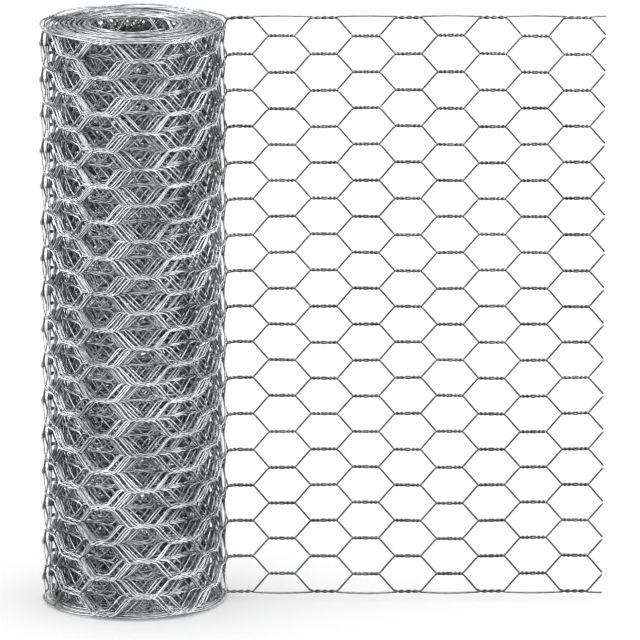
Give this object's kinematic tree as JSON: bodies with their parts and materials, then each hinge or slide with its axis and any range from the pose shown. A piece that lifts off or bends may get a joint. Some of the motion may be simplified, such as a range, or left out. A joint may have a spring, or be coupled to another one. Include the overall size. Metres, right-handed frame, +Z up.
{
  "type": "roll of hexagonal wire netting",
  "caption": "Standing roll of galvanised hexagonal wire netting with an open core, its loose end opened out flat beside it; cut to length for fences, cages and plant guards.",
  "frame": {"origin": "on the roll's axis, on the floor that the roll stands on", "axes": "+Z up along the roll's axis; +X from the axis along the opened end of the netting; +Y to the side from which the netting comes off the roll"},
  "size_m": [0.3796, 0.1256, 0.4037],
  "materials": {
    "galvanised_wire": "hot-dip galvanised, dull grey zinc"
  },
  "bodies": {
    "root": {"netting_roll": "galvanised_wire", "netting_flap": "galvanised_wire"}
  },
  "joints": []
}
